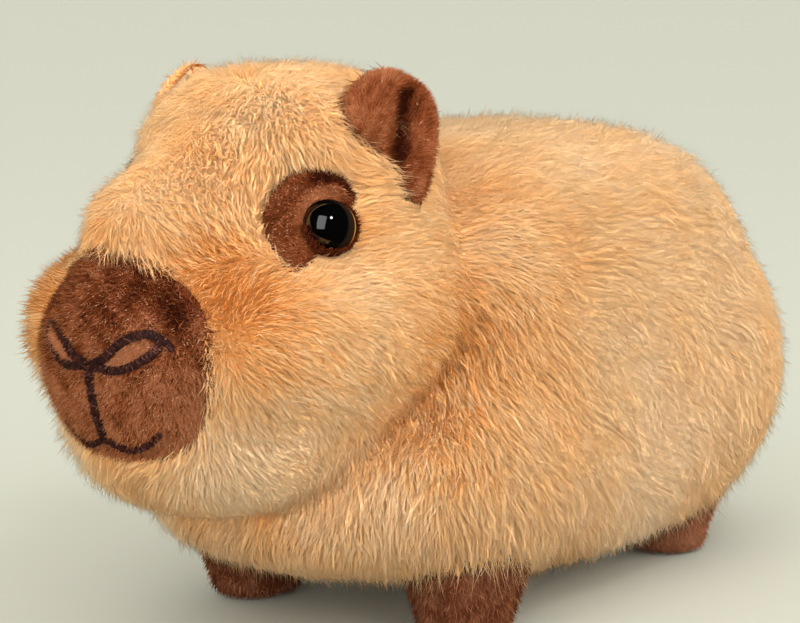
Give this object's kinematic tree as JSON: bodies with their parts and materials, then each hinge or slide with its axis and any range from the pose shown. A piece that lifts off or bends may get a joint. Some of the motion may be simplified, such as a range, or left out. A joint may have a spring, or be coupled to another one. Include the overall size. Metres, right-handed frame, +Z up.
{
  "type": "plush capybara toy",
  "caption": "Stuffed plush capybara toy standing on short feet, with long golden pile, brown muzzle patch, cupped ears and glossy black eyes.",
  "frame": {"origin": "centre of the toy's outline on the floor plane, under the belly", "axes": "+Z up from the soles, +Y from nose to rump, +X to the toy's left side"},
  "size_m": [0.1296, 0.2579, 0.1451],
  "materials": {
    "gold_plush": "long soft pile",
    "brown_plush": "short soft pile",
    "foot_plush": "short soft pile",
    "thread": "satin stitch",
    "eye_black": "polished"
  },
  "bodies": {
    "root": {"torso": "gold_plush", "head": "gold_plush", "muzzle_patch": "brown_plush", "philtrum": "thread", "mouth": "thread", "nostril_left": "thread", "nostril_right": "thread", "eye_patch_left": "brown_plush", "eye_patch_right": "brown_plush", "eye_left": "eye_black", "eye_right": "eye_black", "ear_left": "brown_plush", "ear_right": "brown_plush", "foot_front_left": "foot_plush", "foot_front_right": "foot_plush", "foot_hind_left": "foot_plush", "foot_hind_right": "foot_plush"}
  },
  "joints": []
}
